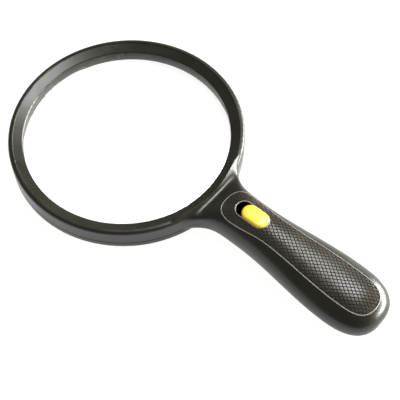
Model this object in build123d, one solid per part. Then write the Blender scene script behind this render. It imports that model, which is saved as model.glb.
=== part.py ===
from build123d import *
from math import cos, pi, radians, sin, sqrt
import os

# Illuminated hand magnifier: a large round lens in a two-part moulded ring and
# grip, with a slide switch, a lamp group under the neck and three cells in the
# tail. Millimetres, +Z up. The ring and the grip lie on the plane z = 0 and the
# grip points along +X. The model is drawn about the lens axis and is stored
# with the middle of its footprint at the origin.

# ---- driving dimensions: lens and ring -------------------------------------
lens_radius = 69.0            # edge of the lens
lens_flange = 2.2             # flat seat round the rim of the lens
lens_edge = 2.0               # thickness at the rim
lens_curve_radius = 390.0     # both optical faces
lens_seat_z = 7.6             # underside of the rim
lens_overlap = 1.7            # how far the front lip covers the rim
lens_gap = 0.2                # radial play round the lens
rear_lip_overlap = 0.8        # how far the rear seat carries the rim

centring_wall = 1.4           # wall that centres the lens
channel_width = 3.7           # hollow of the ring
ring_wall = 2.2               # outer wall of the ring
ring_height = 16.5
crest_inset = 3.1             # inner edge of the crest, in from the outer wall
crest_round = 1.9
crest_step = 0.6              # from the crest down to the sloping deck
crest_lean = 0.15             # draft of that step
crest_edge_round = 0.25
lip_top_z = 13.2              # top of the upright lip over the lens
deck_thickness = 2.6          # sloping top of the ring
foot_round = 1.2
seam_z = 5.0                  # where the two shells meet
seam_groove = 0.35            # bevel on both sides of the seam, round the ring
edge_round = 0.8              # inner edges of the lip and of the foot

# ---- driving dimensions: grip ----------------------------------------------
grip_length = 124.9           # from the ring's outer wall to the tip
neck_blend_radius = 22.0      # plan blend between ring and grip
waist_half_width = 15.4
bulb_half_width = 21.0
swell_start = 29.5            # from the ring's outer wall
tail_round = 29.4             # length of the rounded tail
tail_fullness = 2.6
crown_z = 24.5                # highest line of the grip
crown_drop = 2.7              # how much lower the crown is at the bulb
crown_start = 6.5             # inside the ring's outer wall, where the crown leaves the ring
crown_sink = 0.3              # below the top of the ring, where the crown leaves it
neck_rise = 28.0              # length over which the crown rises from the ring
root_depth = 10.5             # how far the grip's solid reaches into the ring
squared_end = 8.0             # the squared neck section ends this far ahead of the swell
middle_z = 10.5               # widest line of the section
tail_middle_z = 8.5
upper_fullness = 2.2
lower_fullness = 3.2
neck_fullness = 5.0
grip_lift = 0.3               # underside of the grip above the rest plane
section_steps = 24            # points round each section of the grip
shaft_sections = 12           # sections along the shaft
tail_angles = (16, 32, 48, 62, 73, 81, 86)   # sections round the end of the tail

side_wall = 1.9
top_wall = 2.6
grip_floor = 1.9
ring_floor = 1.8
boss_radius = 2.6
doorway_wall = 0.6            # web between the ring's channel and the grip's cavity
doorway_reach = 2.8           # how far the doorway reaches into the channel
doorway_width = 33.0          # way from the channel into the grip, for the lamps
doorway_top = 10.5

# ---- driving dimensions: grip inlay ----------------------------------------
inlay_thickness = 1.2
inlay_gap = 0.25              # fine groove round the inlay
inlay_start = 7.0             # from the ring's outer wall
inlay_nose_half_width = 11.6
inlay_waist_half_width = 9.9
inlay_tail_half_width = 12.6
inlay_end = 5.9               # from the tip of the grip
inlay_waist_share = 0.32      # where the inlay is narrowest, along its length
inlay_tail_share = 0.80       # where the inlay is widest
inlay_low = 2.0               # the inlay stays this far above the widest line

# ---- driving dimensions: switch --------------------------------------------
button_length = 18.2
button_width = 10.8
button_height = 1.2           # above the crown
button_round = 1.1
button_place = 29.7           # centre, from the ring's outer wall, switched off
button_gap = 0.3
switch_travel = 4.6           # towards the ring
skirt_thickness = 1.1
skirt_drop = 4.2              # top of the skirt, below the crown
skirt_extra_width = 1.1       # beyond each side of the button
skirt_tail = 6.0              # beyond the button, towards the tail
post_size = 3.0               # square peg of the slider, up into the button
post_gap = 0.15
post_socket = 1.6             # depth of the button's socket above the skirt
post_end_gap = 0.3
case_wall = 0.6
case_width = 6.6
case_height = 4.6
slider_length = 5.4
slider_thickness = 1.2
slider_gap = 0.3
contact_sheet = 0.3
contact_gap = 0.1
wiper_width = 3.4
wiper_inset = 0.4             # from each end of the slider
terminal_pitch = 3.3
terminal_length = 0.8
terminal_width = 3.0

# ---- driving dimensions: boards and lamps ----------------------------------
board_thickness = 1.6
board_z = 11.0                # underside of the main board
board_width = 24.0
board_start = 12.8            # from the ring's outer wall
board_corner = 1.5
board_screw_inset = 3.4       # from each end of the board
board_boss_y = 9.8
board_boss_radius = 2.2
resistor_size = (3.2, 1.6, 0.6)
resistor_pitch = 3.0
resistor_gap = 2.0            # from the switch case
lamp_radius = 1.5
lamp_flange_radius = 1.9
lamp_flange = 1.0
lamp_length = 3.4
lamp_z = 4.3
lamp_spacing = 13.0
lamp_gap = 0.1
lamp_count = 3
lead_radius = 0.25
lead_pitch = 1.27
lamp_board_gap = 3.2          # length of the lamp legs
lamp_board_thickness = 1.0
lamp_board_height = 6.0
lamp_board_below = 1.1        # below the middle of the lamps
lamp_board_margin = 2.0       # past the middle of the outer lamps
lamp_wire_y = 4.0
lamp_wire_rise = 2.4          # above the middle of the lamps
wire_radius = 0.6
wire_gap = 0.2                # round a wire in its hole
wire_bend = 1.8
wire_run = 2.5                # straight stretch at each end of a wire
board_wire_y = 7.0

# ---- driving dimensions: cells, contacts, door and screws -------------------
cell_radius = 5.25
cell_length = 44.5            # with its nub
cell_nub_radius = 1.9
cell_nub = 0.8
cell_round = 0.5
cell_side_gap = 0.3           # between two cells
cell_lift = 0.55              # above the door's tongue
cell_count = 3
bay_end = 11.4                # rear face of the bay, from the tip
bulkhead = 1.5
contact_plate = 0.4
contact_size = 8.0
contact_lug = 2.0             # how much further the wired contact reaches, to its wire
spring_length = 4.2
spring_radius = 3.0
spring_wire = 0.3
spring_turns = 3

door_gap = 0.25
door_half_width = 14.6
door_corner = 3.0
door_front = 2.5              # door opening, from the front of the bay
door_back = 1.5               # door opening, from the rear of the bay
door_open_lip = 1.6           # how far the tabs reach under the shell
tab_width = 4.0
tab_thickness = 0.8
tab_lift = 0.3
tab_root = 2.4                # length of the tab over the door
tab_sink = 0.4                # how far the tab's foot is sunk in the door
tongue_width = 8.0
tongue_height = 1.2
tongue_thickness = 1.0
tongue_inset = 1.4            # middle of the tongue, from the door's rear edge
tongue_sink = 0.4
ridge_count = 4
ridge_radius = 0.45
ridge_length = 14.0
ridge_pitch = 1.8
ridge_start = 5.0             # from the rear edge of the opening

screw_radius = 1.0
screw_head_radius = 1.9
screw_head = 1.3
screw_recess = 0.7            # heads above the rest plane
case_screw_length = 7.8       # under the head
board_screw_length = 5.0
screw_hole_gap = 0.15
pilot_gap = 0.4               # past the screw's point
head_gap = 0.2
drive_length = 2.4            # cross recess in the head
drive_width = 0.6
drive_depth = 0.5
neck_screw_place = 8.0        # from the ring's outer wall
neck_screw_y = 11.4
bay_screw_gap = 1.65          # on both sides of the boss ahead of the bay
tail_screw_gap = 1.0          # between the bay and the boss behind it

# ---- worked out from the driving dimensions ---------------------------------
lens_top_z = lens_seat_z + lens_edge
centring_inner = lens_radius + lens_gap
centring_outer = centring_inner + centring_wall
channel_outer = centring_outer + channel_width
ring_outer = channel_outer + ring_wall
lip_radius = lens_radius - lens_overlap
rear_radius = lens_radius - rear_lip_overlap
rear_lip_outer = centring_outer - lens_gap
crest_radius = ring_outer - crest_inset
deck_radius = crest_radius - crest_lean
deck_top_z = ring_height - crest_step

tip_x = ring_outer + grip_length
swell_x = ring_outer + swell_start
bulb_x = tip_x - tail_round
blend_x = sqrt((ring_outer + neck_blend_radius) ** 2 - (waist_half_width + neck_blend_radius) ** 2)
crest_x = ring_outer - crown_start
crown_x = crest_x + neck_rise

button_x = ring_outer + button_place
button_top = crown_z + button_height
skirt_top = crown_z - skirt_drop
board_top = board_z + board_thickness

bay_back_x = tip_x - bay_end
bay_front_x = bay_back_x - 2 * contact_plate - cell_length - spring_length
board_front_x = ring_outer + board_start
bay_screw_x = bay_front_x - bulkhead - bay_screw_gap - boss_radius
board_back_x = bay_screw_x - boss_radius - bay_screw_gap
neck_screw_x = ring_outer + neck_screw_place
tail_screw_x = bay_back_x + bulkhead + boss_radius + tail_screw_gap
screw_seat = screw_head + screw_recess

cell_pitch = 2 * cell_radius + cell_side_gap
door_inside = grip_lift + grip_floor
cell_z = door_inside + tongue_height + cell_lift + cell_radius
door_front_x = bay_front_x + door_front
door_back_x = bay_back_x - door_back
lamp_face_x = rear_lip_outer + lamp_gap
lamp_board_x = lamp_face_x + lamp_flange + lamp_board_gap
end_x = bulb_x + tail_round * sin(radians(tail_angles[-1]))
footprint_middle_x = (end_x - ring_outer) / 2
above = 60.0                  # over everything, for cuts
below = -5.0                  # under everything, for cuts


# ---- shape of the grip --------------------------------------------------------
def ease(u):
    u = min(max(u, 0.0), 1.0)
    return u * u * (3 - 2 * u)


def roundness(x, inset, power):
    """1 ahead of the bulb, falling to 0 at the tip, as a full rounded end."""
    t = min(max((x - bulb_x) / (tail_round - inset), 0.0), 1.0)
    return (1 - t ** power) ** (1 / power)


def half_width(x, inset):
    if x < blend_x:
        across = neck_blend_radius ** 2 - (blend_x - x) ** 2
        return waist_half_width + neck_blend_radius - sqrt(max(across, 0.0)) - inset
    swell = ease((x - swell_x) / (bulb_x - swell_x))
    width = waist_half_width + (bulb_half_width - waist_half_width) * swell
    return (width - inset) * roundness(x, inset, tail_fullness)


def middle(x):
    return middle_z + (tail_middle_z - middle_z) * ease((x - swell_x) / (tip_x - swell_x))


def crown(x):
    rise = ease((x - crest_x) / (crown_x - crest_x))
    fall = max(0.0, x - swell_x) / (bulb_x - swell_x)
    low = ring_height - crown_sink
    return low + (crown_z - low) * rise - crown_drop * min(fall, 1.0) ** 2


def grip_section(x, side, top, floor):
    """Closed outline across the grip, set in from the outer skin."""
    wide = half_width(x, side)
    centre = middle(x)
    up = (crown(x) - centre - top) * roundness(x, side, tail_fullness)
    down = (centre - grip_lift - floor) * roundness(x, side, lower_fullness)
    near_ring = 1 - ease((x - crest_x) / (swell_x - squared_end - crest_x))
    points = []
    spacing = [step / section_steps for step in range(section_steps + 1)]
    for share in spacing[:-1]:
        angle = 2 * pi * share - pi / 2
        c, s = cos(angle), sin(angle)
        full = upper_fullness if s > 0 else lower_fullness
        full += (neck_fullness - full) * near_ring
        reach = (abs(c) ** full + abs(s) ** full) ** (-1 / full)
        points.append((x, wide * reach * c, centre + (up if s > 0 else down) * reach * s))
    return make_face(Edge.make_spline(points, periodic=True, parameters=spacing))


def grip_body(start_x, side=0.0, top=0.0, floor=0.0):
    step = (bulb_x - start_x) / shaft_sections
    shaft = [start_x + step * k for k in range(shaft_sections + 1)]
    tail = [bulb_x + (tail_round - side) * sin(radians(a)) for a in tail_angles]
    return loft([grip_section(x, side, top, floor) for x in shaft + tail])


def slab(low, high, reach=400.0):
    return Pos(0, 0, (low + high) / 2) * Box(2 * reach, 2 * reach, high - low)


def ring_of(points, rounds=()):
    """Solid of revolution about the lens axis; rounds lists (corner, radius)."""
    face = make_face(Polyline(*points, close=True))
    for corner, radius in rounds:
        spot = Vector(*points[corner])
        nearest = min(face.vertices(), key=lambda v: (Vector(v.X, v.Y, 0) - spot).length)
        face = fillet([nearest], radius)
    return revolve(Plane.XZ * face, Axis.Z)


outer_skin = grip_body(ring_outer - root_depth)
grip_cavity = grip_body(channel_outer + doorway_wall, side_wall, top_wall, grip_floor)
inlay_bed = grip_body(ring_outer, inlay_thickness, inlay_thickness, inlay_thickness)


# ---- ring ---------------------------------------------------------------------
def ring_front():
    slope = (deck_top_z - lip_top_z) / (deck_radius - lip_radius)
    ceiling = lip_top_z - deck_thickness + slope * (centring_outer - lip_radius)
    points = [
        (ring_outer - seam_groove, seam_z),
        (ring_outer, seam_z + seam_groove),
        (ring_outer, ring_height),
        (crest_radius, ring_height),
        (deck_radius, deck_top_z),
        (lip_radius, lip_top_z),
        (lip_radius, lens_top_z),
        (centring_inner, lens_top_z),
        (centring_inner, lens_seat_z + lens_gap),
        (centring_outer, lens_seat_z + lens_gap),
        (centring_outer, ceiling),
        (channel_outer, ceiling + slope * channel_width),
        (channel_outer, seam_z),
    ]
    return ring_of(points, [(2, crest_round), (3, crest_edge_round), (5, edge_round)])


def ring_rear():
    points = [
        (ring_outer - seam_groove, seam_z),
        (ring_outer, seam_z - seam_groove),
        (ring_outer, 0),
        (rear_radius, 0),
        (rear_radius, lens_seat_z),
        (rear_lip_outer, lens_seat_z),
        (rear_lip_outer, ring_floor),
        (channel_outer, ring_floor),
        (channel_outer, seam_z),
    ]
    return ring_of(points, [(2, foot_round), (3, edge_round)])


def inside_of_ring():
    """Everything the ring surrounds, so that the grip never reaches into it."""
    deck = lip_top_z - deck_thickness / 2
    low = ring_of([(0, below), (channel_outer, below), (channel_outer, deck), (0, deck)])
    high = ring_of([(0, seam_z), (lip_radius, seam_z), (lip_radius, lip_top_z), (deck_radius, deck_top_z),
                    (crest_radius, ring_height), (crest_radius, above), (0, above)])
    return low + high


def doorway():
    """Way through the ring's outer wall, from its channel into the grip."""
    near = channel_outer - doorway_reach
    far = ring_outer + doorway_wall
    opening = Box(far - near, doorway_width, doorway_top - door_inside)
    return Pos((near + far) / 2, 0, (door_inside + doorway_top) / 2) * opening


def half_shell(ring, low, high):
    return ((outer_skin - inside_of_ring()) & slab(low, high)) + ring - grip_cavity - doorway()


# ---- pieces of the grip ---------------------------------------------------------
def screw_places():
    neck = [(neck_screw_x, neck_screw_y), (neck_screw_x, -neck_screw_y)]
    return neck + [(bay_screw_x, 0), (tail_screw_x, 0)]


def board_places():
    return [
        (board_front_x + board_screw_inset, board_boss_y),
        (board_back_x - board_screw_inset, -board_boss_y),
    ]


def post(x, y, radius, low, high):
    return Pos(x, y, (low + high) / 2) * Cylinder(radius, high - low)


def inlay_outline(inset):
    start = ring_outer + inlay_start
    end = tip_x - inlay_end
    span = end - start
    half = [
        (start + inset, 0),
        (start + inlay_nose_half_width, inlay_nose_half_width - inset),
        (start + inlay_waist_share * span, inlay_waist_half_width - inset),
        (start + inlay_tail_share * span, inlay_tail_half_width - inset),
        (end - inset, 0),
    ]
    tangents = [(0, 1), (1, 0), (1, 0), (1, 0), (0, -1)]
    upper = Spline(*half, tangents=tangents)
    return make_face(upper + mirror(upper, Plane.XZ))


def stadium(length, width, x, low, high):
    return Pos(x, 0, low) * extrude(SlotOverall(length, width), high - low)


def switch_slot():
    length = button_length + switch_travel + 2 * button_gap
    width = button_width + 2 * button_gap
    return stadium(length, width, button_x - switch_travel / 2, board_top, above)


def inlay_block(inset):
    return extrude(inlay_outline(inset), above) & slab(middle_z + inlay_low, above)


def make_front_shell():
    shell = half_shell(ring_front(), seam_z, above)
    room = outer_skin & slab(seam_z, above)
    for x in (bay_front_x - bulkhead / 2, bay_back_x + bulkhead / 2):
        shell = shell + (room & Pos(x, 0, 0) * Box(bulkhead, 2 * above, 2 * above))
    for x, y in screw_places():
        shell = shell + (room & post(x, y, boss_radius, seam_z, above))
    for x, y in board_places():
        shell = shell + (room & post(x, y, board_boss_radius, board_top, above))
    for x, y in screw_places():
        shell = shell - post(x, y, screw_radius, 0, screw_seat + case_screw_length + pilot_gap)
    for x, y in board_places():
        shell = shell - post(x, y, screw_radius, 0, board_z + board_screw_length + pilot_gap)
    for y, z in wire_ways():
        shell = shell - wire_hole(y, z)
    return shell - (inlay_block(0) - inlay_bed) - switch_slot()


def door_prism(inset):
    length = door_back_x - door_front_x - 2 * inset
    width = 2 * (door_half_width - inset)
    face = RectangleRounded(length, width, door_corner)
    return Pos((door_front_x + door_back_x) / 2, 0, below) * extrude(face, seam_z - below)


def make_rear_shell():
    shell = half_shell(ring_rear(), below, seam_z)
    room = outer_skin & slab(below, seam_z)
    for x, y in screw_places():
        shell = shell + (room & post(x, y, boss_radius, 0, seam_z))
    for x, y in screw_places():
        shell = shell - post(x, y, screw_radius + screw_hole_gap, below, above)
        shell = shell - post(x, y, screw_head_radius + head_gap, below, screw_seat)
    for y in lamp_rows():
        shell = shell - lamp_hole(y)
    return shell - door_prism(0)


def make_grip_inlay():
    return ((outer_skin - inlay_bed) & inlay_block(inlay_gap)) - switch_slot()


def make_lens():
    rim = lens_radius - lens_flange
    low = lens_seat_z
    high = lens_top_z
    bulge = sagitta(rim)
    half_way = bulge - sagitta(rim / 2)
    front = ThreePointArc((0, high + bulge), (rim / 2, high + half_way), (rim, high))
    edge = Polyline((rim, high), (lens_radius, high), (lens_radius, low), (rim, low))
    back = ThreePointArc((rim, low), (rim / 2, low - half_way), (0, low - bulge))
    axis = Line((0, low - bulge), (0, high + bulge))
    return revolve(Plane.XZ * make_face(front + edge + back + axis), Axis.Z)


def sagitta(reach):
    """Depth of an optical face over the given distance from its axis."""
    return lens_curve_radius - sqrt(lens_curve_radius ** 2 - reach ** 2)


# ---- switch ---------------------------------------------------------------------
def make_button():
    top = stadium(button_length, button_width, button_x, skirt_top - skirt_thickness, button_top)
    top = fillet(top.edges().group_by(Axis.Z)[-1], button_round)
    skirt_length = button_length + skirt_tail
    skirt_width = button_width + 2 * skirt_extra_width
    skirt = Pos(button_x + skirt_tail / 2, 0, skirt_top - skirt_thickness / 2)
    top = top + skirt * Box(skirt_length, skirt_width, skirt_thickness)
    pocket = post_size + 2 * post_gap
    depth = skirt_thickness + post_socket
    return top - Pos(button_x, 0, skirt_top - skirt_thickness + depth / 2) * Box(pocket, pocket, depth)


def slider_low():
    return board_top + case_height - case_wall - slider_thickness - contact_gap


def make_actuator():
    low = slider_low()
    block = Pos(button_x, 0, low + slider_thickness / 2)
    block = block * Box(slider_length, case_width - 2 * case_wall - slider_gap, slider_thickness)
    high = skirt_top + post_socket - post_end_gap
    return block + Pos(button_x, 0, (low + high) / 2) * Box(post_size, post_size, high - low)


def make_wiper():
    plate = Box(slider_length - 2 * wiper_inset, wiper_width, contact_sheet)
    return Pos(button_x, 0, slider_low() - contact_sheet / 2) * plate


def case_length():
    return slider_length + switch_travel + 2 * case_wall + 2 * slider_gap


def make_case():
    place = Pos(button_x - switch_travel / 2, 0, board_top + case_height / 2)
    shell = place * Box(case_length(), case_width, case_height)
    hollow = Box(case_length() - 2 * case_wall, case_width - 2 * case_wall, case_height)
    shell = shell - Pos(0, 0, -case_wall) * place * hollow
    opening = Box(post_size + switch_travel + 2 * slider_gap, post_size + 2 * slider_gap, 3 * case_wall)
    return shell - place * Pos(0, 0, case_height / 2) * opening


def make_terminals():
    high = slider_low() - contact_sheet - contact_gap
    group = []
    for k in (-1, 0, 1):
        place = Pos(button_x - switch_travel / 2 + terminal_pitch * k, 0, (board_top + high) / 2)
        group.append(place * Box(terminal_length, terminal_width, high - board_top))
    return Compound(group)


# ---- boards, lamps and wires -------------------------------------------------------
def make_board():
    length = board_back_x - board_front_x
    face = RectangleRounded(length, board_width, board_corner)
    plate = Pos((board_front_x + board_back_x) / 2, 0, board_z) * extrude(face, board_thickness)
    for x, y in board_places():
        plate = plate - post(x, y, screw_radius + screw_hole_gap, below, above)
    return plate


def make_resistors():
    length, width, height = resistor_size
    x = button_x + case_length() / 2 + resistor_gap + length / 2
    group = []
    for k in range(lamp_count):
        y = resistor_pitch * (k - (lamp_count - 1) / 2)
        group.append(Pos(x, y, board_top + height / 2) * Box(length, width, height))
    return Compound(group)


def lamp_rows():
    return [lamp_spacing * (k - (lamp_count - 1) / 2) for k in range(lamp_count)]


def lamp_front(y):
    """Front of the lamp's flange, just behind the curved seat wall."""
    return sqrt(rear_lip_outer ** 2 - (abs(y) - lamp_flange_radius) ** 2) + lamp_gap if y else lamp_face_x


def lamp_hole(y):
    return Pos(lamp_front(y), y, lamp_z) * Rot(0, 90, 0) * Cylinder(lamp_radius + lamp_gap, 12)


def make_lamps():
    group = []
    for y in lamp_rows():
        face = lamp_front(y)
        straight = lamp_length - lamp_radius
        lamp = Pos(face - straight / 2, y, lamp_z) * Rot(0, 90, 0) * Cylinder(lamp_radius, straight)
        lamp = lamp + Pos(face - straight, y, lamp_z) * Sphere(lamp_radius)
        rim = Pos(face + lamp_flange / 2, y, lamp_z) * Rot(0, 90, 0)
        lamp = lamp + rim * Cylinder(lamp_flange_radius, lamp_flange)
        for side in (-1, 1):
            leg = lamp_board_x - face - lamp_flange
            spot = Pos(lamp_board_x - leg / 2, y + lead_pitch * side / 2, lamp_z) * Rot(0, 90, 0)
            lamp = lamp + spot * Cylinder(lead_radius, leg)
        group.append(lamp)
    return Compound(group)


def make_lamp_board():
    width = (lamp_count - 1) * lamp_spacing + 2 * lamp_board_margin
    middle_height = lamp_z - lamp_board_below + lamp_board_height / 2
    plate = Box(lamp_board_thickness, width, lamp_board_height)
    return Pos(lamp_board_x + lamp_board_thickness / 2, 0, middle_height) * plate


def wire(points):
    path = FilletPolyline(*points, radius=wire_bend)
    return sweep(Plane(path @ 0, z_dir=path % 0) * Circle(wire_radius), path=path)


def make_lamp_wires():
    start = lamp_board_x + lamp_board_thickness
    low = lamp_z + lamp_wire_rise
    high = board_z + board_thickness / 2
    turn = (start + board_front_x) / 2
    group = []
    for y in (-lamp_wire_y, lamp_wire_y):
        group.append(wire([(start, y, low), (turn, y, low), (turn, y, high), (board_front_x, y, high)]))
    return Compound(group)


def wire_ways():
    """Where the two battery wires pass the bulkhead: to the first cell, and over the
    valley between the last two cells to the contact behind the last one."""
    clear = cell_radius + wire_radius + wire_gap
    valley = (cell_y(cell_count - 2) + cell_y(cell_count - 1)) / 2
    half = cell_pitch / 2
    return [(cell_y(0), cell_z), (valley, cell_z + sqrt(clear ** 2 - half ** 2))]


def wire_hole(y, z):
    return Pos(bay_front_x, y, z) * Rot(0, 90, 0) * Cylinder(wire_radius + wire_gap, 4 * bulkhead)


def make_battery_wires():
    level = board_z + board_thickness / 2
    ends = [bay_front_x, bay_back_x - contact_plate]
    group = []
    for (y, z), end, start_y in zip(wire_ways(), ends, (-board_wire_y, board_wire_y)):
        leave = board_back_x + wire_run
        arrive = bay_front_x - wire_run
        route = [(board_back_x, start_y, level), (leave, start_y, level), (arrive, y, z), (end, y, z)]
        group.append(wire(route))
    return Compound(group)


# ---- cells, contacts, door -------------------------------------------------------------
def cell_y(k):
    return cell_pitch * (k - (cell_count - 1) / 2)


def cell_forward(k):
    """True when the nub of the cell points to the ring."""
    return k % 2 == 0


def make_cell(k):
    can = cell_length - cell_nub
    body = Cylinder(cell_radius, can)
    body = fillet(body.edges(), cell_round)
    body = body + Pos(0, 0, can / 2 + cell_nub / 2) * Cylinder(cell_nub_radius, cell_nub)
    if cell_forward(k):
        x = bay_front_x + contact_plate + cell_nub + can / 2
        return Pos(x, cell_y(k), cell_z) * Rot(0, -90, 0) * body
    x = bay_back_x - contact_plate - cell_nub - can / 2
    return Pos(x, cell_y(k), cell_z) * Rot(0, 90, 0) * body


def contact(x, first, last, lug=0.0):
    """Sheet contact that spans the cells first to last, with a lug towards the wire."""
    low = cell_y(first) - contact_size / 2 - lug
    high = cell_y(last) + contact_size / 2
    return Pos(x, (low + high) / 2, cell_z) * Box(contact_plate, high - low, contact_size)


def make_springs():
    group = []
    for k in range(cell_count):
        pitch = (spring_length - 2 * spring_wire) / spring_turns
        coil = Helix(pitch, pitch * spring_turns, spring_radius)
        turn = sweep(Plane(coil @ 0, z_dir=coil % 0) * Circle(spring_wire), path=coil)
        if cell_forward(k):
            x = bay_back_x - contact_plate - spring_length + spring_wire
        else:
            x = bay_front_x + contact_plate + spring_wire
        group.append(Pos(x, cell_y(k), cell_z) * Rot(0, 90, 0) * turn)
    return Compound(group)


def make_door():
    door = (outer_skin - grip_cavity) & door_prism(door_gap)
    front = door_front_x + door_gap
    for y in (-cell_pitch / 2, cell_pitch / 2):
        low = door_inside + tab_lift
        tab = Pos(front + (tab_root - door_open_lip) / 2, y, low + tab_thickness / 2)
        door = door + tab * Box(door_open_lip + tab_root, tab_width, tab_thickness)
        riser = Pos(front + tab_root / 2, y, (door_inside + low) / 2)
        door = door + riser * Box(tab_root, tab_width, low - door_inside + tab_sink)
    tongue = Pos(door_back_x - door_gap - tongue_inset, 0, door_inside + (tongue_height - tongue_sink) / 2)
    door = door + tongue * Box(tongue_thickness, tongue_width, tongue_height + tongue_sink)
    for k in range(ridge_count):
        ridge = Pos(door_back_x - ridge_start - ridge_pitch * k, 0, grip_lift) * Rot(90, 0, 0)
        door = door - ridge * Cylinder(ridge_radius, ridge_length)
    return door


def screw(x, y, head_top, length):
    """Pan-head screw with its head low and its point up."""
    head = Pos(x, y, head_top - screw_head / 2) * Cylinder(screw_head_radius, screw_head)
    head = head - Pos(x, y, head_top - screw_head) * Box(drive_length, drive_width, 2 * drive_depth)
    head = head - Pos(x, y, head_top - screw_head) * Box(drive_width, drive_length, 2 * drive_depth)
    shank = Pos(x, y, head_top + length / 2) * Cylinder(screw_radius, length)
    return head + shank


def store(node, shape):
    export_step(Pos(-footprint_middle_x, 0, 0) * shape, "parts/" + node + ".step")


os.makedirs("parts", exist_ok=True)
store("front_shell", make_front_shell())
store("rear_shell", make_rear_shell())
store("main_lens", make_lens())
store("grip_inlay", make_grip_inlay())
store("switch_button", make_button())
store("switch_actuator", make_actuator())
store("switch_wiper", make_wiper())
store("switch_case", make_case())
store("switch_terminals", make_terminals())
store("circuit_board", make_board())
store("resistors", make_resistors())
store("lamps", make_lamps())
store("lamp_board", make_lamp_board())
store("lamp_wires", make_lamp_wires())
store("battery_wires", make_battery_wires())
for k in range(cell_count):
    store("battery_" + str(k + 1), make_cell(k))
store("positive_contact", contact(bay_front_x + contact_plate / 2, 0, 0))
front_bridge = contact(bay_front_x + contact_plate / 2, 1, 2)
store("front_bridge", front_bridge - wire_hole(*wire_ways()[1]))
store("rear_bridge", contact(bay_back_x - contact_plate / 2, 0, 1))
store("negative_contact", contact(bay_back_x - contact_plate / 2, 2, 2, contact_lug))
store("battery_springs", make_springs())
store("battery_door", make_door())
store("case_screws", Compound([screw(x, y, screw_seat, case_screw_length) for x, y in screw_places()]))
store("board_screws", Compound([screw(x, y, board_z, board_screw_length) for x, y in board_places()]))
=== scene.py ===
import math

import bpy
from mathutils import Matrix, Vector


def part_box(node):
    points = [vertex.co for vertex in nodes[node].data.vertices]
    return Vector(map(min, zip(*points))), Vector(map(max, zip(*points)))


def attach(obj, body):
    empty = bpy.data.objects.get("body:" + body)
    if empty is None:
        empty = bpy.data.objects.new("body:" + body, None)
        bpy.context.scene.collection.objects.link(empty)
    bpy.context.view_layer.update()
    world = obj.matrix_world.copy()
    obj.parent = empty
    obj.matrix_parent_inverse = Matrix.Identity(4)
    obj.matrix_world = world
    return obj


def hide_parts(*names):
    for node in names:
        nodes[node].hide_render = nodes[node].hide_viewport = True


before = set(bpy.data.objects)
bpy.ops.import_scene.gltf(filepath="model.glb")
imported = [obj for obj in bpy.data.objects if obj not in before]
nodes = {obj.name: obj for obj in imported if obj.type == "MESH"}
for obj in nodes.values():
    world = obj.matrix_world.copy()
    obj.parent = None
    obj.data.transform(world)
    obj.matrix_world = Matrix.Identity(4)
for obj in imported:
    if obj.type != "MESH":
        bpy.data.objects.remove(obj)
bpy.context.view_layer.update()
MM = 0.001

# ---- places read from the frame ------------------------------------------------------
lens_low, lens_high = (Vector(corner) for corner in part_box("main_lens"))
pad_low, pad_high = (Vector(corner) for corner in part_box("grip_inlay"))
button_low, button_high = (Vector(corner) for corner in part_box("switch_button"))
shell_high = Vector(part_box("front_shell")[1])
lens_axis = (lens_low + lens_high) / 2

# ---- sizes of the finer pieces -------------------------------------------------------
BUTTON_LENGTH = 18.2 * MM
BUTTON_WIDTH = 10.8 * MM
BUTTON_ROUND = 1.5 * MM
BUTTON_CROWN = 0.25 * MM
CROWN_STEP = 1.0 * MM        # inset from one level of the crown to the next
SKIRT_ROUND = 0.25 * MM
SKIRT_DROP = 5.4 * MM        # top of the skirt, below the top of the button
SKIRT_THICKNESS = 1.1 * MM
SKIRT_INSET = 3.5 * MM       # the skirt starts this far behind the front of the button

LENS_EDGE = 2.0 * MM
LENS_FLANGE = 2.2 * MM
LENS_EDGE_ROUND = 0.25 * MM

GROOVE_ANGLE = math.radians(35)
GROOVE_PITCH = 2.05 * MM     # from groove to groove, square to them
GROOVE_WIDTH = 0.8 * MM
GROOVE_DEPTH = 0.30 * MM
BANK_LIFT = 0.12 * MM        # the edges of a cutting strip, above the skin of the pad
STRIP_WALL = 0.8 * MM
STRIP_CUTS = 48
STRIP_MARGIN = 10 * MM       # added to a strip's length
STRIP_START = 15 * MM        # height over the grip that the strips fall from
STRAY_DROP = 2 * MM          # a strip's points this far below the pad missed it
STRAY_RISE = 1 * MM
STRAY_SIDE = 1.5 * MM
BEAD_RADIUS = 0.34 * MM      # raised line round the pad

CELL_ROUND = 0.5 * MM
SLEEVE_THICKNESS = 0.08 * MM
NUB_RADIUS = 1.9 * MM
NUB_LENGTH = 0.8 * MM
NUB_ROUND = 0.2 * MM
CRIMP_DEPTH = 0.35 * MM      # gutter round the nub
CRIMP_RIM = 1.1 * MM         # width of the rim outside the gutter
CRIMP_GAP = 0.5 * MM         # gutter floor round the nub
BASE_DIMPLE = 0.25 * MM
SLEEVE_ROUND = 0.5 * MM
CELL_STEPS = 48

CAMERA_ANGLES = (41.6, 58.94, -1.15)     # azimuth, elevation and roll in degrees
CAMERA_DISTANCE = 612 * MM
CAMERA_AIM = Vector((1.3, -1.8, 0)) * MM
CAMERA_LENS = 86.6
CAMERA_SENSOR = 36
FLOOR_SIZE = 6.0
FLOOR_Z = -0.5 * MM


# ---- shared steps --------------------------------------------------------------------
def deselect():
    bpy.ops.object.select_all(action="DESELECT")


def pick(*objects):
    """These objects are the whole selection, and the last one is active."""
    deselect()
    for obj in objects:
        obj.select_set(True)
    bpy.context.view_layer.objects.active = objects[-1]


def edit(obj):
    pick(obj)
    bpy.ops.object.mode_set(mode="EDIT")
    bpy.ops.mesh.select_mode(type="VERT")


def leave_edit():
    bpy.ops.object.mode_set(mode="OBJECT")


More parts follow.
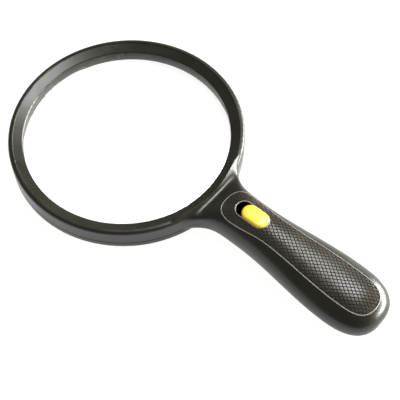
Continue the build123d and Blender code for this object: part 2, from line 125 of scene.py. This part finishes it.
def added(name):
    """Names the primitive that was just added and puts its place in its mesh."""
    obj = bpy.context.object
    obj.name = name
    pick(obj)
    bpy.ops.object.transform_apply(location=True, rotation=True, scale=True)
    return obj


def apply_modifiers(obj):
    pick(obj)
    for modifier in list(obj.modifiers):
        bpy.ops.object.modifier_apply(modifier=modifier.name)


def smooth(obj, angle=35):
    pick(obj)
    bpy.ops.object.shade_smooth_by_angle(angle=math.radians(angle))
    apply_modifiers(obj)


def select_faces(obj, wanted):
    """Selects the faces for which wanted(face) is true, and nothing else, and starts editing."""
    edit(obj)
    bpy.ops.mesh.select_mode(type="FACE")
    bpy.ops.mesh.select_all(action="DESELECT")
    leave_edit()
    for face in obj.data.polygons:
        face.select = wanted(face)
    bpy.ops.object.mode_set(mode="EDIT")


def joined(name, *objects):
    pick(*objects)
    bpy.ops.object.join()
    obj = bpy.context.object
    obj.name = name
    return obj


def merged_copy(node, name):
    """A copy of a frame piece with its loose triangles joined up."""
    source = nodes[node]
    obj = bpy.data.objects.new(name, source.data.copy())
    bpy.context.collection.objects.link(obj)
    edit(obj)
    bpy.ops.mesh.select_all(action="SELECT")
    bpy.ops.mesh.remove_doubles(threshold=0.002 * MM)
    leave_edit()
    pick(obj)
    bpy.ops.mesh.customdata_custom_splitnormals_clear()
    return obj


def turned(name, profile, centre, along, steps=64):
    """A piece turned on a lathe: profile lists (distance along the axis, radius)."""
    bpy.ops.mesh.primitive_plane_add(size=MM)
    obj = added(name)
    edit(obj)
    bpy.ops.mesh.select_all(action="SELECT")
    bpy.ops.mesh.merge(type="CENTER")
    bpy.ops.transform.translate(value=(profile[0][1], 0, profile[0][0]))
    for before, after in zip(profile, profile[1:]):
        move = (after[1] - before[1], 0, after[0] - before[0])
        bpy.ops.mesh.extrude_vertices_move(TRANSFORM_OT_translate={"value": move})
    bpy.ops.mesh.select_all(action="SELECT")
    bpy.ops.mesh.spin(steps=steps, angle=2 * math.pi, center=(0, 0, 0), axis=(0, 0, 1))
    bpy.ops.mesh.select_all(action="SELECT")
    bpy.ops.mesh.remove_doubles(threshold=0.002 * MM)
    bpy.ops.mesh.normals_make_consistent(inside=False)
    leave_edit()
    turn = Vector(along).to_track_quat("Z", "Y").to_matrix().to_4x4()
    obj.matrix_world = Matrix.Translation(centre) @ turn
    pick(obj)
    bpy.ops.object.transform_apply(location=True, rotation=True, scale=True)
    return obj


def rounded(corner_along, corner_radius, size, start, end, steps=5):
    """Points of a quarter round for a turned profile, between two directions in degrees."""
    points = []
    for k in range(steps + 1):
        angle = math.radians(start + (end - start) * k / steps)
        points.append((corner_along + size * math.sin(angle), corner_radius + size * math.cos(angle)))
    return points


def place(obj, body, slot, material, *replaced):
    obj.data.materials.clear()
    obj.data.materials.append(material)
    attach(obj, body)
    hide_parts(*replaced)


# ---- shared shader groups ------------------------------------------------------------
def new_group(name, inputs, outputs):
    group = bpy.data.node_groups.new(name, "ShaderNodeTree")
    for label, kind, value in inputs:
        socket = group.interface.new_socket(label, in_out="INPUT", socket_type=kind)
        socket.default_value = value
    for label, kind in outputs:
        group.interface.new_socket(label, in_out="OUTPUT", socket_type=kind)
    return group, group.nodes.new("NodeGroupInput"), group.nodes.new("NodeGroupOutput")


def make_grain_group():
    """Fine spark-eroded mould texture: shallow pits over a soft waviness."""
    group, given, result = new_group(
        "mould_grain",
        [("Pits", "NodeSocketFloat", 3200.0), ("Waves", "NodeSocketFloat", 120.0)],
        [("Height", "NodeSocketFloat")])
    link = group.links.new
    where = group.nodes.new("ShaderNodeTexCoord")
    pits = group.nodes.new("ShaderNodeTexVoronoi")
    pits.feature = "SMOOTH_F1"
    specks = group.nodes.new("ShaderNodeTexNoise")
    specks.inputs["Detail"].default_value = 2.0
    waves = group.nodes.new("ShaderNodeTexNoise")
    waves.inputs["Detail"].default_value = 1.0
    both = group.nodes.new("ShaderNodeMath")
    both.operation = "ADD"
    total = group.nodes.new("ShaderNodeMath")
    total.operation = "ADD"
    for texture, size in ((pits, "Pits"), (specks, "Pits"), (waves, "Waves")):
        link(where.outputs["Object"], texture.inputs["Vector"])
        link(given.outputs[size], texture.inputs["Scale"])
    link(pits.outputs["Distance"], both.inputs[0])
    link(specks.outputs["Fac"], both.inputs[1])
    link(both.outputs[0], total.inputs[0])
    link(waves.outputs["Fac"], total.inputs[1])
    link(total.outputs[0], result.inputs["Height"])
    return group


def make_marks_group():
    """Handling marks: a soft cloudy mask, and a separate sparse mask of fine dust specks."""
    group, given, result = new_group(
        "handling_marks",
        [("Size", "NodeSocketFloat", 45.0), ("Dust", "NodeSocketFloat", 900.0)],
        [("Cloud", "NodeSocketFloat"), ("Specks", "NodeSocketFloat")])
    link = group.links.new
    where = group.nodes.new("ShaderNodeTexCoord")
    cloud = group.nodes.new("ShaderNodeTexNoise")
    cloud.inputs["Detail"].default_value = 4.0
    cloud.inputs["Distortion"].default_value = 0.6
    dust = group.nodes.new("ShaderNodeTexNoise")
    dust.inputs["Detail"].default_value = 1.0
    spread = group.nodes.new("ShaderNodeMapRange")
    spread.inputs["From Min"].default_value = 0.35
    spread.inputs["From Max"].default_value = 0.65
    sparse = group.nodes.new("ShaderNodeMapRange")
    sparse.inputs["From Min"].default_value = 0.70
    sparse.inputs["From Max"].default_value = 0.78
    for texture, size in ((cloud, "Size"), (dust, "Dust")):
        link(where.outputs["Object"], texture.inputs["Vector"])
        link(given.outputs[size], texture.inputs["Scale"])
    link(cloud.outputs["Fac"], spread.inputs["Value"])
    link(dust.outputs["Fac"], sparse.inputs["Value"])
    link(spread.outputs["Result"], result.inputs["Cloud"])
    link(sparse.outputs["Result"], result.inputs["Specks"])
    return group


grain_group = make_grain_group()
marks_group = make_marks_group()


# ---- materials -----------------------------------------------------------------------
COAT_ROUGHNESS = 0.12


def new_material(name):
    material = bpy.data.materials.new(name)
    material.use_nodes = True
    tree = material.node_tree
    return material, tree, tree.nodes["Principled BSDF"]


def use_group(tree, group, **values):
    node = tree.nodes.new("ShaderNodeGroup")
    node.node_tree = group
    for label, value in values.items():
        node.inputs[label].default_value = value
    return node


def mixed_colour(tree, mask, first, second, target):
    blend = tree.nodes.new("ShaderNodeMix")
    blend.data_type = "RGBA"
    blend.inputs["A"].default_value = (*first, 1)
    blend.inputs["B"].default_value = (*second, 1)
    tree.links.new(mask, blend.inputs["Factor"])
    tree.links.new(blend.outputs["Result"], target)


def ranged(tree, mask, low, high, target):
    spread = tree.nodes.new("ShaderNodeMapRange")
    spread.inputs["To Min"].default_value = low
    spread.inputs["To Max"].default_value = high
    tree.links.new(mask, spread.inputs["Value"])
    tree.links.new(spread.outputs["Result"], target)


def bumped(tree, shader, height, depth):
    bump = tree.nodes.new("ShaderNodeBump")
    bump.inputs["Distance"].default_value = depth
    bump.inputs["Strength"].default_value = 1.0
    tree.links.new(height, bump.inputs["Height"])
    tree.links.new(bump.outputs["Normal"], shader.inputs["Normal"])


def moulded(name, colour, marked, rough, pits=3200.0, depth=0.008 * MM, metallic=0.0, coat=0.0):
    """A moulded or plated finish: two close colours, uneven gloss and a fine grain."""
    material, tree, shader = new_material(name)
    marks = use_group(tree, marks_group)
    grain = use_group(tree, grain_group, Pits=pits)
    mixed_colour(tree, marks.outputs["Cloud"], colour, marked, shader.inputs["Base Color"])
    ranged(tree, marks.outputs["Cloud"], rough[0], rough[1], shader.inputs["Roughness"])
    bumped(tree, shader, grain.outputs["Height"], depth)
    shader.inputs["Metallic"].default_value = metallic
    shader.inputs["Coat Weight"].default_value = coat
    shader.inputs["Coat Roughness"].default_value = COAT_ROUGHNESS
    return material


def make_lens_material():
    """Clear optical plastic that lets the light of the room through to the table."""
    material, tree, shader = new_material("clear_lens")
    marks = use_group(tree, marks_group, Size=25.0)
    ranged(tree, marks.outputs["Cloud"], 0.0, 0.015, shader.inputs["Roughness"])
    shader.inputs["Base Color"].default_value = (0.985, 0.99, 0.985, 1)
    shader.inputs["Transmission Weight"].default_value = 1.0
    shader.inputs["IOR"].default_value = 1.49
    clear = tree.nodes.new("ShaderNodeBsdfTransparent")
    path = tree.nodes.new("ShaderNodeLightPath")
    blend = tree.nodes.new("ShaderNodeMixShader")
    tree.links.new(path.outputs["Is Shadow Ray"], blend.inputs["Fac"])
    tree.links.new(shader.outputs["BSDF"], blend.inputs[1])
    tree.links.new(clear.outputs["BSDF"], blend.inputs[2])
    tree.links.new(blend.outputs["Shader"], tree.nodes["Material Output"].inputs["Surface"])
    return material


shell_satin = moulded("shell_satin", (0.012, 0.0115, 0.0065), (0.017, 0.016, 0.0095), (0.27, 0.35))
pad_satin = moulded("pad_satin", (0.030, 0.026, 0.018), (0.040, 0.035, 0.025), (0.28, 0.36), pits=2400.0)
# Painted highlight: the bead is coloured far paler than the dark pad so that it shows as a bright line
# of light all round the pad.
bead_painted_highlight = moulded(
    "bead_painted_highlight", (0.20, 0.19, 0.16), (0.26, 0.25, 0.21), (0.30, 0.38), depth=0.001 * MM, coat=0.2)
button_gloss = moulded("button_gloss", (0.95, 0.62, 0.02), (0.98, 0.70, 0.04), (0.34, 0.42), coat=0.15)
slider_black = moulded("slider_black", (0.02, 0.02, 0.02), (0.03, 0.03, 0.03), (0.4, 0.5))
contact_brass = moulded(
    "contact_brass", (0.80, 0.58, 0.22), (0.62, 0.42, 0.16), (0.22, 0.38), metallic=1.0)
contact_nickel = moulded(
    "contact_nickel", (0.74, 0.72, 0.68), (0.60, 0.58, 0.54), (0.18, 0.32), metallic=1.0)
tinned_case = moulded(
    "tinned_case", (0.70, 0.70, 0.68), (0.52, 0.52, 0.50), (0.28, 0.42), metallic=1.0)
screw_zinc = moulded("screw_zinc", (0.50, 0.50, 0.50), (0.36, 0.36, 0.35), (0.24, 0.40), metallic=1.0)
board_varnish = moulded(
    "board_varnish", (0.004, 0.012, 0.007), (0.007, 0.02, 0.011), (0.25, 0.36), coat=0.3)
resistor_body = moulded("resistor_body", (0.04, 0.04, 0.045), (0.07, 0.07, 0.075), (0.35, 0.5))
lamp_dome = moulded("lamp_dome", (0.86, 0.88, 0.84), (0.93, 0.90, 0.72), (0.06, 0.14), coat=0.6)
wire_jacket = moulded("wire_jacket", (0.45, 0.02, 0.02), (0.55, 0.04, 0.03), (0.30, 0.42))
cell_sleeve = moulded("cell_sleeve", (0.03, 0.09, 0.16), (0.05, 0.12, 0.20), (0.16, 0.26), coat=0.5)
cell_can = moulded("cell_can", (0.68, 0.67, 0.64), (0.56, 0.55, 0.52), (0.22, 0.34), metallic=1.0)
clear_lens = make_lens_material()


# ---- lens ----------------------------------------------------------------------------
def make_lens():
    """Both faces bulge from a flat flange, and the rim has fine rounded corners."""
    radius = (lens_high.x - lens_low.x) / 2
    flange = radius - LENS_FLANGE
    bulge = (lens_high.z - lens_low.z - LENS_EDGE) / 2
    sphere = (flange ** 2 + bulge ** 2) / (2 * bulge)
    half = LENS_EDGE / 2
    front = []
    for k in range(25):
        reach = flange * k / 24
        front.append((half + bulge - sphere + math.sqrt(sphere ** 2 - reach ** 2), reach))
    corner = rounded(half - LENS_EDGE_ROUND, radius - LENS_EDGE_ROUND, LENS_EDGE_ROUND, 90, 0, 3)
    upper = front + corner
    lower = [(-along, reach) for along, reach in reversed(upper)]
    lens = turned("main_lens_ground", upper + lower, lens_axis, (0, 0, 1), steps=160)
    smooth(lens, 30)
    place(lens, "casing", "lens_plastic", clear_lens, "main_lens")


# ---- pad with its diamond relief -----------------------------------------------------
def groove_cutter(name, angle):
    """V-shaped strips side by side, draped on the skin of the grip."""
    length = (pad_high.y - pad_low.y) / math.sin(GROOVE_ANGLE) + STRIP_MARGIN
    step = GROOVE_PITCH / math.sin(GROOVE_ANGLE)
    lean = (pad_high.y - pad_low.y) / math.tan(GROOVE_ANGLE)
    count = math.ceil((pad_high.x - pad_low.x + lean) / step) + 2
    middle = (pad_low.x + pad_high.x) / 2 - step * (count - 1) / 2
    bpy.ops.mesh.primitive_grid_add(
        x_subdivisions=STRIP_CUTS, y_subdivisions=2, size=1,
        location=(middle, 0, shell_high.z + STRIP_START), rotation=(0, 0, angle))
    cutter = bpy.context.object
    cutter.name = name
    cutter.scale = (length, GROOVE_WIDTH, 1)
    pick(cutter)
    valley = cutter.vertex_groups.new(name="valley")
    valley.add([v.index for v in cutter.data.vertices if abs(v.co.y) < 0.1], 1.0, "REPLACE")
    banks = cutter.vertex_groups.new(name="banks")
    banks.add([v.index for v in cutter.data.vertices if abs(v.co.y) > 0.1], 1.0, "REPLACE")
    bpy.ops.object.transform_apply(location=True, rotation=True, scale=True)
    rows = cutter.modifiers.new("rows", "ARRAY")
    rows.use_relative_offset = False
    rows.use_constant_offset = True
    rows.constant_offset_displace = (step, 0, 0)
    rows.count = count
    drape = cutter.modifiers.new("drape", "SHRINKWRAP")
    drape.wrap_method = "PROJECT"
    drape.use_project_z = True
    drape.use_negative_direction = True
    drape.use_positive_direction = False
    drape.target = nodes["grip_inlay"]
    drape.auxiliary_target = nodes["front_shell"]
    apply_modifiers(cutter)
    strayed = {
        vertex.index for vertex in cutter.data.vertices
        if not pad_low.z - STRAY_DROP < vertex.co.z < pad_high.z + STRAY_RISE
        or abs(vertex.co.y) > pad_high.y + STRAY_SIDE}
    select_faces(cutter, lambda face: not strayed.isdisjoint(face.vertices))
    bpy.ops.mesh.delete(type="FACE")
    leave_edit()
    for group, lift in (("valley", -GROOVE_DEPTH), ("banks", BANK_LIFT)):
        shift = cutter.modifiers.new(group, "DISPLACE")
        shift.direction = "Z"
        shift.mid_level = 0.0
        shift.strength = lift
        shift.vertex_group = group
    wall = cutter.modifiers.new("wall", "SOLIDIFY")
    wall.thickness = STRIP_WALL
    wall.offset = 1.0
    apply_modifiers(cutter)
    return cutter


def make_pad():
    pad = merged_copy("grip_inlay", "grip_pad_relief")
    select_faces(pad, lambda face: face.normal.z > 0.3)
    bpy.ops.mesh.region_to_loop()
    bpy.ops.mesh.duplicate()
    bpy.ops.mesh.separate(type="SELECTED")
    leave_edit()
    bead = [obj for obj in bpy.context.selected_objects if obj != pad][0]
    pick(bead)
    bpy.ops.object.convert(target="CURVE")
    bead.data.bevel_depth = BEAD_RADIUS
    bead.data.bevel_resolution = 2
    bpy.ops.object.convert(target="MESH")
    for name, angle in (("left_grooves", GROOVE_ANGLE), ("right_grooves", -GROOVE_ANGLE)):
        cutter = groove_cutter(name, angle)
        cut = pad.modifiers.new(name, "BOOLEAN")
        cut.operation = "DIFFERENCE"
        cut.solver = "EXACT"
        cut.use_self = True
        cut.object = cutter
        apply_modifiers(pad)
        bpy.data.objects.remove(cutter)
    smooth(pad, 30)
    smooth(bead, 60)
    bead.name = "grip_pad_bead"
    place(pad, "casing", "inlay_plastic", pad_satin, "grip_inlay")
    # the bead's pale colour is a painted highlight along the edge of the pad
    place(bead, "casing", "inlay_plastic", bead_painted_highlight, "grip_inlay")


# ---- switch button -------------------------------------------------------------------
def make_button():
    """A rounded cap, a little crowned, on the thin skirt that closes the slot."""
    centre = button_low.x + BUTTON_LENGTH / 2
    skirt_top = button_high.z - SKIRT_DROP
    height = button_high.z - BUTTON_CROWN - skirt_top
    bpy.ops.mesh.primitive_cylinder_add(
        vertices=64, radius=BUTTON_WIDTH / 2, depth=height,
        location=(centre, 0, skirt_top + height / 2))
    cap = added("button_cap")
    straight = (BUTTON_LENGTH - BUTTON_WIDTH) / 2
    for side in (-1, 1):
        edit(cap)
        bpy.ops.mesh.select_all(action="DESELECT")
        leave_edit()
        for vertex in cap.data.vertices:
            vertex.select = (vertex.co.x - centre) * side > 0.01 * MM
        edit(cap)
        bpy.ops.transform.translate(value=(side * straight, 0, 0))
        leave_edit()
    select_faces(cap, lambda face: face.normal.z > 0.9)
    bpy.ops.mesh.region_to_loop()
    bpy.ops.mesh.bevel(offset=BUTTON_ROUND, offset_type="OFFSET", segments=6, profile=0.55)
    leave_edit()
    select_faces(cap, lambda face: face.normal.z > 0.999)
    for share in (0.45, 0.35, 0.2):
        bpy.ops.mesh.inset(thickness=CROWN_STEP, depth=0)
        bpy.ops.transform.translate(value=(0, 0, BUTTON_CROWN * share))
    leave_edit()
    skirt_length = button_high.x - button_low.x - SKIRT_INSET
    skirt_width = button_high.y - button_low.y
    bpy.ops.mesh.primitive_cube_add(
        size=1, location=(button_high.x - skirt_length / 2, 0, skirt_top - SKIRT_THICKNESS / 2),
        scale=(skirt_length, skirt_width, SKIRT_THICKNESS))
    skirt = added("button_skirt")
    edit(skirt)
    bpy.ops.mesh.select_all(action="SELECT")
    bpy.ops.mesh.bevel(offset=SKIRT_ROUND, segments=2)
    leave_edit()
    button = joined("switch_button_moulded", skirt, cap)
    smooth(button, 40)
    place(button, "switch", "button_plastic", button_gloss, "switch_button")


# ---- cells ---------------------------------------------------------------------------
def make_cell(node):
    """A steel can under a printed sleeve, with a crimp below the nub and a flat base."""
    low, high = (Vector(corner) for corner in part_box(node))
    radius = (high.z - low.z) / 2
    centre = (low + high) / 2
    forward = low.x < Vector(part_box("battery_2")[0]).x - 0.1 * MM
    length = high.x - low.x
    base = -length / 2
    top = length / 2 - NUB_LENGTH
    inner = radius - SLEEVE_THICKNESS
    can = [(base, 0), (base, radius * 0.55), (base + BASE_DIMPLE, radius * 0.62)]
    can += rounded(base + CELL_ROUND, inner - CELL_ROUND, CELL_ROUND, -90, 0)
    can += rounded(top - CELL_ROUND, inner - CELL_ROUND, CELL_ROUND, 0, 90)
    gutter = top - CRIMP_DEPTH
    can += [(gutter, inner - CRIMP_RIM), (gutter, NUB_RADIUS + CRIMP_GAP), (top, NUB_RADIUS)]
    can += rounded(top + NUB_LENGTH - NUB_ROUND, NUB_RADIUS - NUB_ROUND, NUB_ROUND, 0, 90, 3)
    can += [(top + NUB_LENGTH, 0)]
    along = (-1, 0, 0) if forward else (1, 0, 0)
    body = turned(node + "_can", can, centre, along, steps=CELL_STEPS)
    smooth(body, 40)
    sleeve = [(base + 0.4 * MM, inner - 0.2 * MM), (base + 0.15 * MM, radius - 0.35 * MM)]
    sleeve += [(base + SLEEVE_ROUND, radius), (top - SLEEVE_ROUND, radius)]
    sleeve += [(top - 0.12 * MM, radius - 0.45 * MM), (top - 0.12 * MM, radius - CRIMP_RIM)]
    sleeve += [(top - 0.3 * MM, radius - CRIMP_RIM)]
    jacket = turned(node + "_sleeve", sleeve, centre, along, steps=CELL_STEPS)
    smooth(jacket, 40)
    place(body, "casing", "cell_jacket", cell_can, node)
    place(jacket, "casing", "cell_jacket", cell_sleeve, node)


# ---- floor, light and camera ---------------------------------------------------------
def make_camera():
    azimuth, elevation, roll = (math.radians(angle) for angle in CAMERA_ANGLES)
    flat = Vector((math.sin(azimuth), -math.cos(azimuth), 0))
    back = flat * math.cos(elevation) + Vector((0, 0, math.sin(elevation)))
    side = Vector((math.cos(azimuth), math.sin(azimuth), 0))
    up = back.cross(side)
    right = side * math.cos(roll) + up * math.sin(roll)
    over = up * math.cos(roll) - side * math.sin(roll)
    data = bpy.data.cameras.new("camera")
    data.lens = CAMERA_LENS
    data.sensor_width = CAMERA_SENSOR
    camera = bpy.data.objects.new("camera", data)
    bpy.context.collection.objects.link(camera)
    turn = Matrix((right, over, back)).transposed()
    camera.matrix_world = Matrix.Translation(CAMERA_AIM + back * CAMERA_DISTANCE) @ turn.to_4x4()
    bpy.context.scene.camera = camera


def make_stage():
    deselect()
    bpy.ops.mesh.primitive_plane_add(size=FLOOR_SIZE, location=(0, 0, FLOOR_Z))
    floor = bpy.context.object
    floor.name = "floor"
    material, tree, shader = new_material("pale_floor")
    shader.inputs["Base Color"].default_value = (0.25, 0.25, 0.24, 1)
    shader.inputs["Roughness"].default_value = 0.9
    shader.inputs["Specular IOR Level"].default_value = 0.1
    shader.inputs["Emission Color"].default_value = (1.0, 1.0, 0.99, 1)
    shader.inputs["Emission Strength"].default_value = 0.96
    floor.data.materials.append(material)
    world = bpy.data.worlds.new("studio")
    bpy.context.scene.world = world
    world.use_nodes = True
    world.node_tree.nodes["Background"].inputs["Color"].default_value = (1, 1, 1, 1)
    world.node_tree.nodes["Background"].inputs["Strength"].default_value = 0.22
    bpy.context.scene.view_settings.view_transform = "Standard"


def add_light(name, place, size, power):
    data = bpy.data.lights.new(name, "AREA")
    data.shape = "RECTANGLE"
    data.size = size[0]
    data.size_y = size[1]
    data.energy = power
    lamp = bpy.data.objects.new(name, data)
    bpy.context.collection.objects.link(lamp)
    lamp.location = place
    lamp.rotation_euler = (-Vector(place)).to_track_quat("-Z", "Y").to_euler()


make_camera()
make_stage()
add_light("right_softbox", (0.63, 0.75, 0.20), (1.1, 0.22), 44)
add_light("top_softbox", (-0.02, 0.46, 1.00), (0.42, 0.42), 10)

kept = {
    "front_shell": shell_satin, "rear_shell": shell_satin, "battery_door": shell_satin,
    "switch_actuator": slider_black, "switch_wiper": contact_brass, "switch_terminals": contact_brass,
    "switch_case": tinned_case, "circuit_board": board_varnish, "lamp_board": board_varnish,
    "resistors": resistor_body, "lamps": lamp_dome,
    "lamp_wires": wire_jacket, "battery_wires": wire_jacket,
    "positive_contact": contact_nickel, "front_bridge": contact_nickel, "rear_bridge": contact_nickel,
    "negative_contact": contact_nickel, "battery_springs": contact_nickel,
    "case_screws": screw_zinc, "board_screws": screw_zinc,
}
for node, material in kept.items():
    nodes[node].data.materials.clear()
    nodes[node].data.materials.append(material)

make_lens()
make_pad()
make_button()
for node in ("battery_1", "battery_2", "battery_3"):
    make_cell(node)
